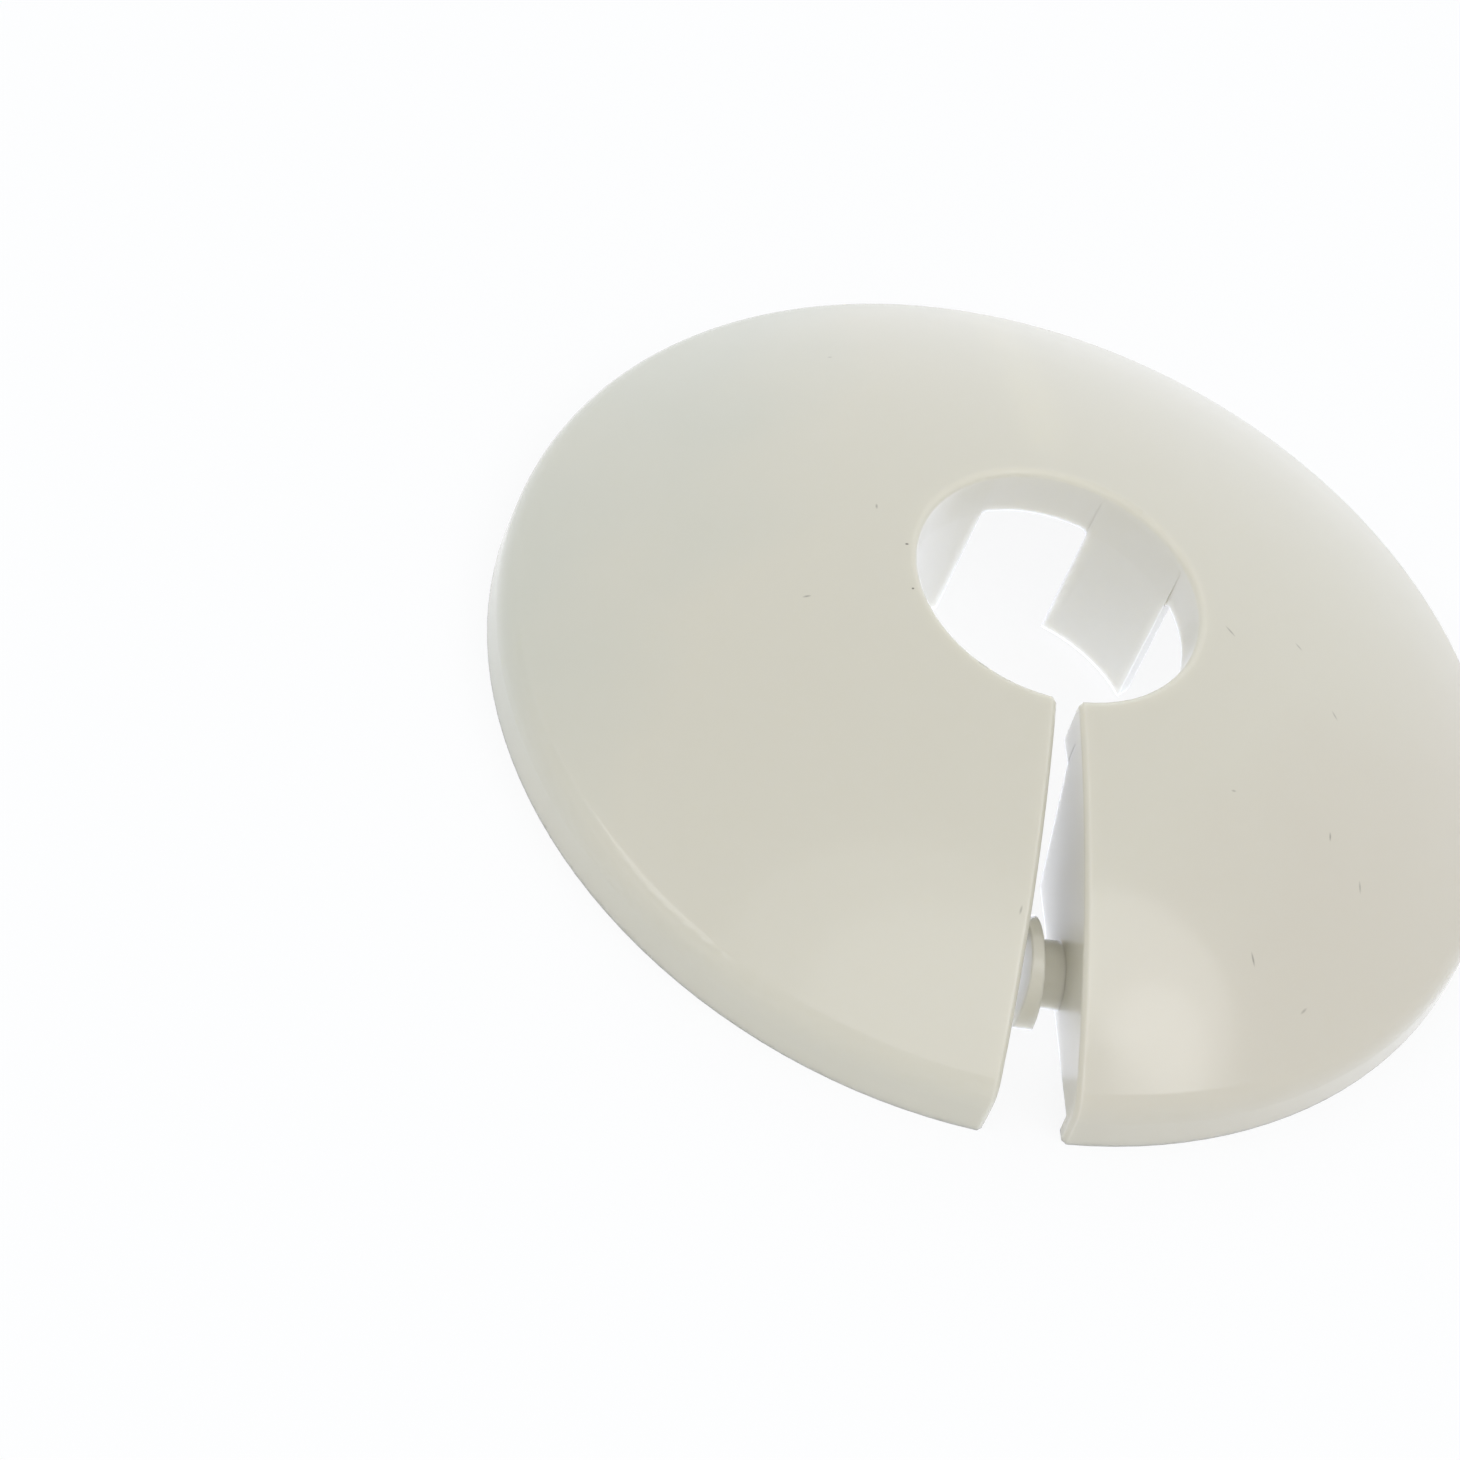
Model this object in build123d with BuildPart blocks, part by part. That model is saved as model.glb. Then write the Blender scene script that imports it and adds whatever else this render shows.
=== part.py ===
"""Split escutcheon: a one-piece moulded cover ring that is sprung over a 15 mm heating pipe.

The origin is on the bore axis in the plane of the back rim, +Z points away from the wall and the
split lies towards -Y. Sizes are in millimetres.
"""
import os
from math import cos, radians, sin, sqrt, tan

from build123d import *

# Outside of the cover
cover_diameter = 55.0
bore_diameter = 15.3
crown_height = 11.5  # back rim to the upper edge of the bore, before it is rounded
shoulder_height = 2.75  # back rim to the corner of dome and rim wall, before it is rounded
shoulder_rounding = 1.9
bore_rounding = 0.35

# Walls
dome_wall = 1.2
rim_wall = 0.9
cavity_bevel = 0.6

# Collar round the bore, and the tongues under it that grip the pipe
collar_depth = 3.05
collar_wall = 1.8
tongue_count = 4
tongue_width = 5.7
tongue_wall = 0.8
tongue_grip = 0.1  # how far the tongues stand into the bore
tongue_lift = 0.75  # back rim to the tips
tongue_root_rounding = 0.5

# Split: a V in plan, with the angle and the lean of each face set by themselves
split_gap = 1.15  # at the upper edge of the bore
catch_side_turn = 3.15
catch_side_draft = 3.0
slot_side_turn = 4.1
slot_side_draft = 0.0
split_bevel = 0.25

# Web that closes each half along the split
web_wall = 0.9
web_lift = 1.15  # back rim to the lower edge, at the rim wall
web_foot_reach = 12.3  # bore axis to the foot of the web's slanted end
web_foot_lift = 2.0  # back rim to that foot

# Catch: a D-shaped button on one web, and a slot for its stem in the other
catch_reach = 18.6  # bore axis to the button's middle
catch_lift = 2.3  # back rim to the centre of the half-round
stem_radius = 1.95
stem_foot = 0.15  # straight foot under the stem's half-round
catch_play = 0.5  # stem length left over when the slotted web is on it
head_overhang = 1.15
head_foot = 0.55  # straight foot under the head's half-round
head_top_wall = 0.65
head_foot_wall = 1.1
slot_clearance = 0.2

# Thin strip under the dome, opposite the split, where the ring flexes
hinge_width = 2.4
hinge_skin = 0.6

# Sizes that follow from those above
cover_radius = cover_diameter / 2
bore_radius = bore_diameter / 2
grip_radius = bore_radius - tongue_grip
cavity_radius = cover_radius - rim_wall
collar_radius = bore_radius + collar_wall
collar_height = crown_height - collar_depth
split_turn = {1: radians(catch_side_turn), -1: radians(slot_side_turn)}
split_draft = {1: radians(catch_side_draft), -1: radians(slot_side_draft)}

# The dome is a sphere about a point of the axis, through the bore's upper edge and the shoulder
dome_centre = (bore_radius**2 + crown_height**2 - cover_radius**2 - shoulder_height**2) / (
    2 * (crown_height - shoulder_height)
)
dome_radius = sqrt(bore_radius**2 + (crown_height - dome_centre) ** 2)


def dome_height(reach, depth=0.0):
    """Height, at a distance from the axis, of the sphere that lies a depth under the outer dome."""
    return dome_centre + sqrt((dome_radius - depth) ** 2 - reach**2)


def dome_arc(inner, outer, depth=0.0):
    """Half-section of that sphere between two distances from the axis."""
    reaches = (inner, (inner + outer) / 2, outer)
    return ThreePointArc(*[(reach, dome_height(reach, depth)) for reach in reaches])


def across_split(side):
    """Level direction at right angles to the split's face, into the half on that side (1 or -1)."""
    return Vector(side * cos(split_turn[side]), sin(split_turn[side]), 0)


def split_face(side, margin):
    """Plane of the split's face on one side, moved a margin into that half of the ring."""
    across = across_split(side)
    return Plane(
        origin=Vector(side * split_gap / 2, -bore_radius, crown_height) + across * margin,
        z_dir=across * cos(split_draft[side]) + Vector(0, 0, sin(split_draft[side])),
    )


def split_wedge(margin):
    """The open wedge of the split, widened by a margin on each face."""
    with BuildPart() as wedge:
        with Locations((0, -bore_radius / 2, 0)):
            Box(cover_diameter, cover_diameter, 4 * crown_height, align=(Align.CENTER, Align.MAX, Align.CENTER))
        for side in (1, -1):
            split(bisect_by=split_face(side, margin), keep=Keep.BOTTOM)
    return wedge.part


def half_round(plane, radius, foot):
    """Half disc on a straight-sided foot, as on the catch."""
    with BuildSketch(plane) as outline:
        with BuildLine():
            ThreePointArc((radius, 0), (0, radius), (-radius, 0))
            Polyline((-radius, 0), (-radius, -foot), (radius, -foot), (radius, 0))
        make_face()
    return outline.sketch


def web_plane(side):
    """Upright plane on a web's split face at the catch, looking into the split, with its second axis up."""
    opening = tan(split_turn[side]) * (catch_reach - bore_radius)
    lean = tan(split_draft[side]) / cos(split_turn[side]) * (crown_height - catch_lift)
    across = across_split(side)
    return Plane(
        origin=(side * (split_gap / 2 + opening + lean), -catch_reach, catch_lift),
        x_dir=Vector(across.Y, -across.X, 0),
        z_dir=-across,
    )


# Gripping tongues: a thin sleeve in the bore, left standing in four places
with BuildPart() as tongues:
    with BuildSketch(Plane.XZ):
        with BuildLine():
            sleeve_top = crown_height - 2 * bore_rounding
            Polyline(
                (grip_radius, tongue_lift),
                (grip_radius + tongue_wall, tongue_lift),
                (grip_radius + tongue_wall, sleeve_top),
                (bore_radius, sleeve_top),
                (grip_radius, collar_height),
                close=True,
            )
        make_face()
    revolve(axis=Axis.Z)
    with BuildSketch():
        with PolarLocations(grip_radius, tongue_count, start_angle=180 / tongue_count):
            Rectangle(2 * tongue_wall + tongue_width, tongue_width)
    extrude(amount=crown_height, mode=Mode.INTERSECT)

open_wedge = split_wedge(0)
web_wedge = split_wedge(web_wall)

# Webs: one block across the split, cut in two with the rest of the ring
with BuildPart() as webs:
    with BuildSketch(Plane.YZ):
        with BuildLine():
            Polyline(
                (-collar_radius, crown_height),
                (-collar_radius, collar_height),
                (-web_foot_reach, web_foot_lift),
                (-cover_radius, web_lift),
                (-cover_radius, crown_height),
                close=True,
            )
        make_face()
    extrude(amount=cover_radius, both=True)
    add(web_wedge, mode=Mode.INTERSECT)
    with BuildSketch(Plane.XZ):
        with BuildLine():
            mid_rim = cover_radius - rim_wall / 2
            dome_arc(0, mid_rim, dome_wall / 2)
            Polyline(
                (mid_rim, dome_height(mid_rim, dome_wall / 2)),
                (mid_rim, 0),
                (0, 0),
                (0, dome_height(0, dome_wall / 2)),
            )
        make_face()
    revolve(axis=Axis.Z, mode=Mode.INTERSECT)

# Groove under the dome that leaves the thin strip where the ring flexes
with BuildPart() as hinge_groove:
    with BuildSketch(Plane.XZ):
        with BuildLine():
            groove_end = cavity_radius - cavity_bevel
            dome_arc(collar_radius, groove_end, hinge_skin)
            Polyline(
                (groove_end, dome_height(groove_end, hinge_skin)),
                (groove_end, 0),
                (collar_radius, 0),
                (collar_radius, dome_height(collar_radius, hinge_skin)),
            )
        make_face()
    revolve(axis=Axis.Z)
    with BuildSketch():
        Rectangle(hinge_width, cover_radius, align=(Align.CENTER, Align.MIN))
    extrude(amount=crown_height, mode=Mode.INTERSECT)

# Head of the catch: the half-round button, with draft on both of its faces
stem_length = web_wall + catch_play
head_radius = stem_radius + head_overhang
catch_plane = web_plane(1)
head_outline = half_round(catch_plane.offset(stem_length), head_radius, head_foot)
with BuildPart() as catch_head:
    extrude(head_outline, amount=head_foot_wall)
    with BuildSketch(Plane(catch_plane.origin, x_dir=catch_plane.z_dir, z_dir=-catch_plane.x_dir)):
        with BuildLine():
            lean = (head_foot_wall - head_top_wall) / 2
            Polyline(
                (stem_length, -head_foot),
                (stem_length + head_foot_wall, -head_foot),
                (stem_length + head_foot_wall - lean, head_radius),
                (stem_length + lean, head_radius),
                close=True,
            )
        make_face()
    extrude(amount=head_radius, both=True, mode=Mode.INTERSECT)

stem_outline = half_round(catch_plane.offset(-web_wall / 2), stem_radius, stem_foot)
slot_foot = catch_lift - web_lift + slot_clearance
slot_outline = half_round(web_plane(-1).offset(web_wall), stem_radius + slot_clearance, slot_foot)

with BuildPart() as escutcheon:
    # Shell, rim wall and collar in one turned section
    with BuildSketch(Plane.XZ) as section:
        with BuildLine():
            dome_arc(bore_radius, cover_radius)
            Polyline(
                (cover_radius, shoulder_height),
                (cover_radius, 0),
                (cavity_radius, 0),
                (cavity_radius, dome_height(cavity_radius, dome_wall)),
            )
            dome_arc(collar_radius, cavity_radius, dome_wall)
            Polyline(
                (collar_radius, dome_height(collar_radius, dome_wall)),
                (collar_radius, collar_height),
                (bore_radius, collar_height),
                (bore_radius, crown_height),
            )
        make_face()
        for corner, rounding in (
            ((cover_radius, shoulder_height), shoulder_rounding),
            ((bore_radius, crown_height), bore_rounding),
        ):
            fillet(section.vertices().sort_by_distance(corner)[0], rounding)
        cavity_corner = (cavity_radius, dome_height(cavity_radius, dome_wall))
        chamfer(section.vertices().sort_by_distance(cavity_corner)[0], cavity_bevel)
    revolve(axis=Axis.Z)

    add(tongues.part)
    roots = escutcheon.edges().filter_by(GeomType.LINE).filter_by(Plane.XY)
    roots = roots.filter_by(lambda edge: abs(edge.center().Z - collar_height) < tongue_root_rounding)
    fillet(roots, tongue_root_rounding)

    add(webs.part)
    add(hinge_groove.part, mode=Mode.SUBTRACT)
    add(open_wedge, mode=Mode.SUBTRACT)
    dome = escutcheon.faces().filter_by(GeomType.SPHERE).sort_by(SortBy.AREA)[-1]
    split_middle = (0, -(bore_radius + cover_radius) / 2, (crown_height + shoulder_height) / 2)
    chamfer(dome.edges().sort_by_distance(split_middle)[:2], split_bevel)

    extrude(slot_outline, amount=-3 * web_wall, mode=Mode.SUBTRACT)
    extrude(stem_outline, amount=stem_length + (web_wall + head_foot_wall) / 2)
    add(catch_head.part)

escutcheon.part.label = "escutcheon"
os.makedirs("parts", exist_ok=True)
export_step(escutcheon.part, "parts/escutcheon.step")
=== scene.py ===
# %% [markdown]
# Split escutcheon
#
# This cover ring is a single injection moulding. It is sprung over a heating pipe and hides the hole
# where the pipe goes into the wall. Its shape is exact already, so this lesson loads it and is about
# what makes moulded plastic look like plastic: its colour, its gloss, the dust on it and the light.

import bpy
import numpy as np
from mathutils import Matrix, Vector


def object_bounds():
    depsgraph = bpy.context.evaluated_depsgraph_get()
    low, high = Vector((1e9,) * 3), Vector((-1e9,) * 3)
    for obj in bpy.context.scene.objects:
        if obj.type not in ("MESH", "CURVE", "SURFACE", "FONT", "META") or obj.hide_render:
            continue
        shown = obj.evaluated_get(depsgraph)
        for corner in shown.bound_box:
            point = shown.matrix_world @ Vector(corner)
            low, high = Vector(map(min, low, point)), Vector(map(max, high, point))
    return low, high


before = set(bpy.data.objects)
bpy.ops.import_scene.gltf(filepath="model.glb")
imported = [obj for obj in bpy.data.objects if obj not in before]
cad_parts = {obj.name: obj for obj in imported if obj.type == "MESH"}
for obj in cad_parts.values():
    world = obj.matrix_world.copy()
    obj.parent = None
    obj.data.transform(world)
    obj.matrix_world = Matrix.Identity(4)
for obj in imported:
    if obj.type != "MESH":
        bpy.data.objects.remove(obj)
cad_low, cad_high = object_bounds()

MM = 0.001
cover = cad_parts["escutcheon"]
size_mm = (cad_high - cad_low) / MM
print("cover ring, size in mm:", [round(value, 2) for value in size_mm])

# %% [markdown]
# Helpers for node trees
#
# A finish is a small tree of shader nodes. Adding a node takes three steps, which are to make it, to
# choose its settings and to fill the sockets that nothing is linked to, so one short function does all
# three and keeps the cells below readable.

# %% Helpers for node trees
def add_node(tree, kind, inputs=None, **settings):
    """A node of one kind, with its settings and the values of its unlinked sockets."""
    node = tree.nodes.new(kind)
    for name, value in settings.items():
        setattr(node, name, value)
    for name, value in (inputs or {}).items():
        node.inputs[name].default_value = value
    return node


def new_material(name):
    """An empty material and the tree in it, with its output node."""
    material = bpy.data.materials.new(name)
    material.use_nodes = True
    material.node_tree.nodes.clear()
    output = add_node(material.node_tree, "ShaderNodeOutputMaterial")
    print("material:", name)
    return material, material.node_tree, output


# %% [markdown]
# Finish: ivory plastic
#
# The plastic is coloured right through, a creamy white that is a shade darker and greener towards one side
# of the ring and a shade darker and rosier towards the other. A straight gradient on Object coordinates
# runs through the three tones, and a slow noise bends it, so the drift stays put on the part from any side.
# White plastic is also a
# little translucent: light goes in and comes out nearby, which lifts the shade on the thin tongues and on
# the catch. Subsurface scattering gives that, with a reach below the thickness of the dome.

# %% Translucent plastic
PLASTIC_IOR = 1.49
LIGHT_REACH_MM = (0.8, 0.8, 0.8)

plastic, plastic_tree, plastic_output = new_material("ivory_plastic")
link = plastic_tree.links.new
shader = add_node(plastic_tree, "ShaderNodeBsdfPrincipled", {
    "IOR": PLASTIC_IOR,
    "Subsurface Weight": 1.0,
    "Subsurface Radius": LIGHT_REACH_MM,
    "Subsurface Scale": MM,
})
link(shader.outputs["BSDF"], plastic_output.inputs["Surface"])
print("light reaches, in mm:", LIGHT_REACH_MM[0])

# %% Drift of its tone
IVORY_TONES = [
    # place along the drift, and the tone there
    (0.06, (0.596, 0.600, 0.528, 1.0)),
    (0.22, (0.638, 0.621, 0.536, 1.0)),
    (0.74, (0.638, 0.620, 0.536, 1.0)),
    (0.92, (0.622, 0.594, 0.514, 1.0)),
]
DRIFT_BEARING = np.radians(35.0)
DRIFT_MIDDLE = 0.5
DRIFT_BEND = 0.25
BENDS_PER_M = 60.0

place = add_node(plastic_tree, "ShaderNodeTexCoord")
span = 1 / (size_mm[0] * MM)
across = add_node(plastic_tree, "ShaderNodeMapping", {
    "Location": (DRIFT_MIDDLE, 0.0, 0.0),
    "Rotation": (0.0, 0.0, DRIFT_BEARING),
    "Scale": (span, span, span),
})
drift = add_node(plastic_tree, "ShaderNodeTexGradient")
slow = add_node(plastic_tree, "ShaderNodeTexNoise", {"Scale": BENDS_PER_M, "Detail": 2.0})
bend = add_node(plastic_tree, "ShaderNodeMapRange", {"To Min": -DRIFT_BEND, "To Max": DRIFT_BEND})
bent = add_node(plastic_tree, "ShaderNodeMath", operation="ADD", use_clamp=True)
tone = add_node(plastic_tree, "ShaderNodeValToRGB")
stops = tone.color_ramp.elements
stops.remove(stops[-1])
stops[0].position, stops[0].color = IVORY_TONES[0]
for position, colour in IVORY_TONES[1:]:
    stops.new(position).color = colour
link(place.outputs["Object"], across.inputs["Vector"])
link(across.outputs["Vector"], drift.inputs["Vector"])
link(place.outputs["Object"], slow.inputs["Vector"])
link(slow.outputs["Fac"], bend.inputs["Value"])
link(drift.outputs["Fac"], bent.inputs[0])
link(bend.outputs["Result"], bent.inputs[1])
link(bent.outputs["Value"], tone.inputs["Fac"])
print("stops along the drift:", len(stops))

# %% [markdown]
# Gloss
#
# A mould is polished where the part is seen and left satin where it is not. So the side that faces away
# from the wall and the rim get a clear skin, which whitens the far edge at a low angle, and the bore,
# the webs and the underside do without it. The skin follows the surface's own direction, read as the
# Normal in the part's frame, and at the rim the distance from the axis, which is the length of the
# coordinates with the height left out. Under the skin the roughness wanders a little, as on a part that
# has been handled.

# %% Polished show side
SATIN_BELOW = 0.3
POLISHED_ABOVE = 0.8
RIM_FROM_MM = 26.7
RIM_FULL_MM = 27.2
SKIN_ROUGHNESS = 0.11

facing = add_node(plastic_tree, "ShaderNodeSeparateXYZ")
polish = add_node(plastic_tree, "ShaderNodeMapRange", {
    "From Min": SATIN_BELOW,
    "From Max": POLISHED_ABOVE,
})
level = add_node(plastic_tree, "ShaderNodeMapping", {"Scale": (1.0, 1.0, 0.0)})
reach_out = add_node(plastic_tree, "ShaderNodeVectorMath", operation="LENGTH")
rim = add_node(plastic_tree, "ShaderNodeMapRange", {
    "From Min": RIM_FROM_MM * MM,
    "From Max": RIM_FULL_MM * MM,
})
skin = add_node(plastic_tree, "ShaderNodeMath", operation="MAXIMUM")
link(place.outputs["Normal"], facing.inputs["Vector"])
link(facing.outputs["Z"], polish.inputs["Value"])
link(place.outputs["Object"], level.inputs["Vector"])
link(level.outputs["Vector"], reach_out.inputs[0])
link(reach_out.outputs["Value"], rim.inputs["Value"])
link(polish.outputs["Result"], skin.inputs[0])
link(rim.outputs["Result"], skin.inputs[1])
link(skin.outputs["Value"], shader.inputs["Coat Weight"])
shader.inputs["Coat Roughness"].default_value = SKIN_ROUGHNESS
shader.inputs["Coat IOR"].default_value = PLASTIC_IOR
print("polished where the surface faces up by more than", POLISHED_ABOVE)

# %% Satin under the skin
SATIN_LEAST = 0.30
SATIN_MOST = 0.40
TOUCHES_PER_M = 160.0

touch = add_node(plastic_tree, "ShaderNodeTexNoise", {"Scale": TOUCHES_PER_M, "Detail": 3.0})
satin = add_node(plastic_tree, "ShaderNodeMapRange", {"To Min": SATIN_LEAST, "To Max": SATIN_MOST})
link(place.outputs["Object"], touch.inputs["Vector"])
link(touch.outputs["Fac"], satin.inputs["Value"])
link(satin.outputs["Result"], shader.inputs["Roughness"])
print("roughness from", SATIN_LEAST, "to", SATIN_MOST)

# %% [markdown]
# Edges and mould marks
#
# No moulded edge is sharp. The Bevel node bends the shading over the last fraction of a millimetre at
# every edge and leaves the mesh as it is. In the bore the steps beside the tongues are smaller than that
# softening, which would smear them into dark lines, so there the surface keeps its own direction. A fine
# ripple, the trace of the tool that cut the mould, keeps the reflections from looking like glass.

# %% Soft edges
EDGE_MM = 0.22
EDGE_SAMPLES = 6
PLAIN_WITHIN_MM = 7.60
SOFT_BEYOND_MM = 7.75

surface = add_node(plastic_tree, "ShaderNodeNewGeometry")
edges = add_node(plastic_tree, "ShaderNodeBevel", {"Radius": EDGE_MM * MM}, samples=EDGE_SAMPLES)
outside_bore = add_node(plastic_tree, "ShaderNodeMapRange", {
    "From Min": PLAIN_WITHIN_MM * MM,
    "From Max": SOFT_BEYOND_MM * MM,
})
softened = add_node(plastic_tree, "ShaderNodeMix", data_type="VECTOR")
link(reach_out.outputs["Value"], outside_bore.inputs["Value"])
link(outside_bore.outputs["Result"], softened.inputs["Factor"])
link(surface.outputs["Normal"], softened.inputs["A"])
link(edges.outputs["Normal"], softened.inputs["B"])
print("edge softened over, in mm:", EDGE_MM)

# %% Ripple
RIPPLE_MM = 0.02
RIPPLE_STRENGTH = 0.03
RIPPLES_PER_M = 900.0

ripple = add_node(plastic_tree, "ShaderNodeTexNoise", {"Scale": RIPPLES_PER_M, "Detail": 3.0})
bump = add_node(plastic_tree, "ShaderNodeBump", {
    "Strength": RIPPLE_STRENGTH,
    "Distance": RIPPLE_MM * MM,
})
link(place.outputs["Object"], ripple.inputs["Vector"])
link(ripple.outputs["Fac"], bump.inputs["Height"])
link(softened.outputs["Result"], bump.inputs["Normal"])
for name in ("Normal", "Coat Normal"):
    link(bump.outputs["Normal"], shader.inputs[name])
print("ripple height, in mm:", RIPPLE_MM)

# %% [markdown]
# Dust
#
# A few specks and bits of lint lie on the dome. Each one is a place, given by its distance from the
# bore's axis and its bearing from the split, then a direction, a length and how much of the plastic it
# hides. A ray sent straight down finds the height of the dome there. A Mapping node set to Texture
# squeezes the coordinates round that place, so that the speck is simply where their length is below 1.
# Maximum joins the specks into one mask, which mixes their brown into the plastic's tone.

# %% Where the dust lies
DUST_MARKS = [
    # distance in mm, bearing, direction, length in mm and share hidden
    (8.3, -97, 0, 0.20, 1.0),
    (8.3, -76, 0, 0.14, 1.0),
    (10.3, -111, 88, 0.38, 0.45),
    (13.6, -79, 12, 0.42, 0.50),
    (20.3, -149, 5, 0.25, 0.35),
    (19.3, -6, 78, 0.45, 0.35),
    (9.4, 85, -45, 0.70, 0.45),
    (13.6, 90, -40, 0.50, 0.35),
    (16.0, 77, -55, 0.55, 0.35),
    (14.1, 41, 10, 0.28, 0.35),
    (18.7, 54, 90, 0.48, 0.50),
    (21.4, 53, 96, 0.62, 0.40),
    (21.7, 30, -68, 0.66, 0.50),
    (24.6, 35, 49, 0.50, 0.35),
]
STRAIGHT_DOWN = Vector((0.0, 0.0, -1.0))


def spot_on_dome(reach, bearing):
    """The point of the dome at a distance in mm from the axis and a bearing in degrees from the split."""
    turn = np.radians(bearing)
    above = Vector((np.sin(turn) * reach * MM, -np.cos(turn) * reach * MM, 2 * cad_high[2]))
    found, spot = cover.ray_cast(above, STRAIGHT_DOWN)[:2]
    print("dust mark on the dome:", found, "at a height in mm of", round(spot.z / MM, 1))
    return spot


print("dust marks:", len(DUST_MARKS))

# %% Dust mask
DUST = (0.08, 0.07, 0.05, 1.0)
DUST_WIDTH_MM = 0.13
DUST_DEPTH_MM = 0.9
DUST_CORE = 0.3
DUST_EDGE = 1.2

mask = None
for reach, bearing, direction, length, hidden in DUST_MARKS:
    squeeze = add_node(plastic_tree, "ShaderNodeMapping", {
        "Location": spot_on_dome(reach, bearing),
        "Rotation": (0.0, 0.0, np.radians(direction)),
        "Scale": (length / 2 * MM, DUST_WIDTH_MM / 2 * MM, DUST_DEPTH_MM * MM),
    }, vector_type="TEXTURE")
    away = add_node(plastic_tree, "ShaderNodeVectorMath", operation="LENGTH")
    speck = add_node(plastic_tree, "ShaderNodeMapRange", {
        "From Min": DUST_CORE,
        "From Max": DUST_EDGE,
        "To Min": hidden,
        "To Max": 0.0,
    })
    link(place.outputs["Object"], squeeze.inputs["Vector"])
    link(squeeze.outputs["Vector"], away.inputs[0])
    link(away.outputs["Value"], speck.inputs["Value"])
    if mask is None:
        mask = speck.outputs["Result"]
    else:
        either = add_node(plastic_tree, "ShaderNodeMath", operation="MAXIMUM")
        link(mask, either.inputs[0])
        link(speck.outputs["Result"], either.inputs[1])
        mask = either.outputs["Value"]

soiled = add_node(plastic_tree, "ShaderNodeMix", data_type="RGBA")
soiled.inputs["B"].default_value = DUST
link(mask, soiled.inputs["Factor"])
link(tone.outputs["Color"], soiled.inputs["A"])
link(soiled.outputs["Result"], shader.inputs["Base Color"])

cover.data.materials.clear()
cover.data.materials.append(plastic)
print("nodes in the plastic:", len(plastic_tree.nodes))

# %% [markdown]
# Floor
#
# The ring lies on a plain white sheet. For the camera and in the gloss the sheet is nearly a white
# light of its own, so that it stays white; the rest of it is a matt surface that takes the ring's shadow.
# It lies a hair below the rim, because two faces in one plane would flicker.

# %% What sees the white directly
def seen_directly(tree):
    """The largest of three ray flags: 1 for what the camera or the gloss sees, 0 for light that bounces."""
    path = add_node(tree, "ShaderNodeLightPath")
    seen = path.outputs["Is Camera Ray"]
    for name in ("Is Glossy Ray", "Is Transmission Ray"):
        either = add_node(tree, "ShaderNodeMath", operation="MAXIMUM")
        tree.links.new(seen, either.inputs[0])
        tree.links.new(path.outputs[name], either.inputs[1])
        seen = either.outputs["Value"]
    return seen


# %% White of the sheet
SHEET_WHITE = (0.88, 0.91, 0.95, 1.0)
SHEET_OWN_LIGHT = 0.86

sheet_white, sheet_tree, sheet_output = new_material("white_sheet")
matt = add_node(sheet_tree, "ShaderNodeBsdfDiffuse", {"Color": SHEET_WHITE})
own = add_node(sheet_tree, "ShaderNodeEmission", {"Strength": 1.0})
share = add_node(sheet_tree, "ShaderNodeMath", operation="MULTIPLY")
share.inputs[1].default_value = SHEET_OWN_LIGHT
blend = add_node(sheet_tree, "ShaderNodeMixShader")
sheet_tree.links.new(seen_directly(sheet_tree), share.inputs[0])
sheet_tree.links.new(share.outputs["Value"], blend.inputs["Fac"])
sheet_tree.links.new(matt.outputs["BSDF"], blend.inputs[1])
sheet_tree.links.new(own.outputs["Emission"], blend.inputs[2])
sheet_tree.links.new(blend.outputs["Shader"], sheet_output.inputs["Surface"])
print("share of the sheet that is light of its own:", SHEET_OWN_LIGHT)

# %% Sheet under the ring
SHEET_HALF = 2.0
SHEET_DROP = 0.02 * MM

corners = np.array([(-1, -1, 0), (1, -1, 0), (1, 1, 0), (-1, 1, 0)]) * SHEET_HALF
corners[:, 2] = -SHEET_DROP
sheet_mesh = bpy.data.meshes.new("sheet")
sheet_mesh.from_pydata(corners.tolist(), [], [(0, 1, 2, 3)])
sheet_mesh.materials.append(sheet_white)
sheet = bpy.data.objects.new("sheet", sheet_mesh)
bpy.context.scene.collection.objects.link(sheet)
print("sheet, side in m:", 2 * SHEET_HALF)

# %% [markdown]
# Light
#
# The ring stands in a light tent, so there is almost no shadow. A softbox on the right shows as the pale
# patch beside the split, a wide one in front lifts the near side of the dome, and a narrow one on the left
# draws the thin streak along the shoulder. A softbox is brighter where its bulb is, so the first two have
# a second lamp in front of them for that. A card in front and a panel behind only even out the tone, so
# the gloss does not show them. A lamp on the sheet shines up into the ring, as a light table does, and
# fills the bore, the tongues and the split with a cool light. Each lamp's power follows from how bright
# its face should look.

# %% Softboxes that the gloss shows
SOFTBOX_AWAY = 0.9


def softbox(name, direction, width, height, radiance, away=SOFTBOX_AWAY):
    """A flat oval lamp that faces the ring; its power is radiance times pi times its area."""
    lamp = bpy.data.lights.new(name, "AREA")
    lamp.shape = "ELLIPSE"
    lamp.size = width
    lamp.size_y = height
    lamp.energy = radiance * np.pi * (np.pi / 4 * width * height)
    box = bpy.data.objects.new(name, lamp)
    aim = Vector(direction).normalized()
    box.location = aim * away
    box.rotation_euler = aim.to_track_quat("Z", "Y").to_euler()
    bpy.context.scene.collection.objects.link(box)
    print(name, "power in W:", round(lamp.energy, 3))
    return box


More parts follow.
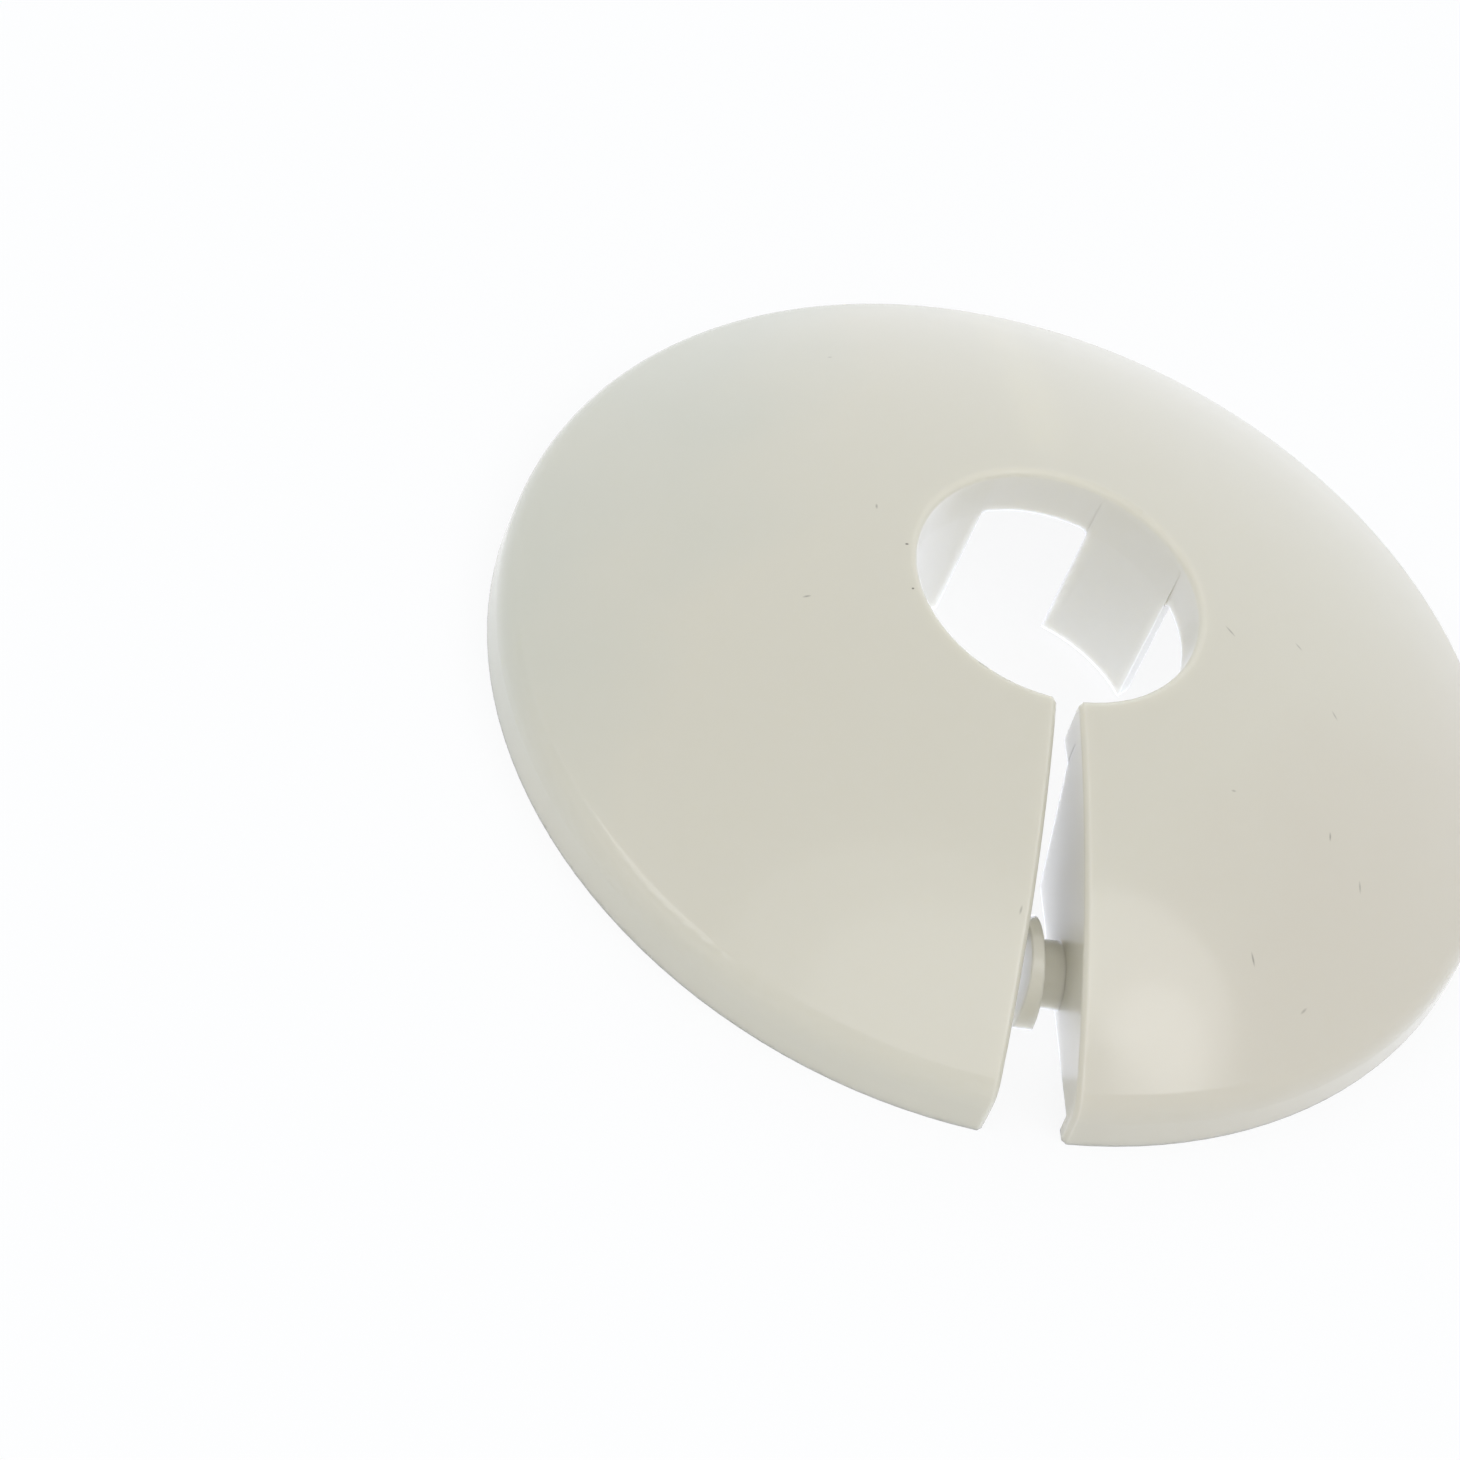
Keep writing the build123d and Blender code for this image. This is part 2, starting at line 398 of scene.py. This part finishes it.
softbox("softbox_right", (0.50, -0.25, 0.83), width=0.315, height=0.468, radiance=1.3)
softbox("softbox_right_bulb", (0.53, -0.36, 0.77), width=0.24, height=0.24, radiance=1.2)
softbox("softbox_front", (-0.05, -0.38, 0.92), width=0.85, height=0.60, radiance=0.42)
softbox("softbox_front_bulb", (0.0, -0.42, 0.90), width=0.55, height=0.40, radiance=0.45)
softbox("softbox_left", (-0.76, -0.18, 0.62), width=0.50, height=0.24, radiance=1.7)

# %% Lamps that only fill
PANEL_AWAY = 1.2
PANEL_COOL = (0.80, 0.90, 1.0)

card = softbox("card_front", (0.15, -0.94, 0.30), width=0.50, height=0.25, radiance=1.6)
panel = softbox("panel_behind", (0.05, 0.94, 0.34), width=1.50, height=0.75, radiance=1.1, away=PANEL_AWAY)
panel.data.color = PANEL_COOL
for fill in (card, panel):
    fill.visible_glossy = False

# %% Light table under the ring
TABLE_COOL = (0.75, 0.79, 1.0)
TABLE_SIDE = 0.047
TABLE_LIFT = 0.3 * MM

table = softbox("light_table", -STRAIGHT_DOWN, TABLE_SIDE, TABLE_SIDE, radiance=1.14, away=TABLE_LIFT)
table.rotation_euler = (np.pi, 0.0, 0.0)
table.data.color = TABLE_COOL
table.visible_camera = False

# %% Light tent
TENT_LIGHT = 0.775

world = bpy.data.worlds.new("light_tent")
world.use_nodes = True
tent = world.node_tree
tent.nodes.clear()
tent_output = add_node(tent, "ShaderNodeOutputWorld")
tent_glow = add_node(tent, "ShaderNodeBackground", {"Color": (1.0, 1.0, 1.0, 1.0)})
tent_level = add_node(tent, "ShaderNodeMapRange", {"To Min": TENT_LIGHT, "To Max": 1.0})
tent.links.new(seen_directly(tent), tent_level.inputs["Value"])
tent.links.new(tent_level.outputs["Result"], tent_glow.inputs["Strength"])
tent.links.new(tent_glow.outputs["Background"], tent_output.inputs["Surface"])
bpy.context.scene.world = world
print("light tent, level:", TENT_LIGHT)

# %% [markdown]
# Camera
#
# A long lens from above, turned about its own axis, as the picture was taken. Three angles, a distance
# and the point on the sheet at the middle of the picture say it all.

# %% Lens
PICTURE_SIDE_PX = 1460
FOCAL_PX = 8000
SENSOR_MM = 36.0
NEAREST_SEEN = 0.01
FARTHEST_SEEN = 10.0

lens = bpy.data.cameras.new("camera")
lens.sensor_width = SENSOR_MM
lens.lens = SENSOR_MM * FOCAL_PX / PICTURE_SIDE_PX
lens.clip_start = NEAREST_SEEN
lens.clip_end = FARTHEST_SEEN
print("lens in mm:", round(lens.lens, 2))

# %% Camera
CAMERA_AIM_MM = Vector((-14.459, -3.499, 0.0))
CAMERA_AWAY_MM = 415.155
CAMERA_AZIMUTH = np.radians(-20.044)
CAMERA_ELEVATION = np.radians(46.084)
CAMERA_ROLL = np.radians(24.558)

back = Vector((
    np.sin(CAMERA_AZIMUTH) * np.cos(CAMERA_ELEVATION),
    -np.cos(CAMERA_AZIMUTH) * np.cos(CAMERA_ELEVATION),
    np.sin(CAMERA_ELEVATION),
))
camera = bpy.data.objects.new("camera", lens)
camera.rotation_mode = "QUATERNION"
upright = (-back).to_track_quat("-Z", "Y").to_matrix()
camera.rotation_quaternion = (upright @ Matrix.Rotation(CAMERA_ROLL, 3, "Z")).to_quaternion()
camera.location = (CAMERA_AIM_MM + back * CAMERA_AWAY_MM) * MM
bpy.context.scene.collection.objects.link(camera)
bpy.context.scene.camera = camera
print("camera, place in m:", [round(value, 3) for value in camera.location])

# %% [markdown]
# The end
#
# The colours are shown as they are, with the Standard view.

# %% Colour management and the end
bpy.context.scene.view_settings.view_transform = "Standard"
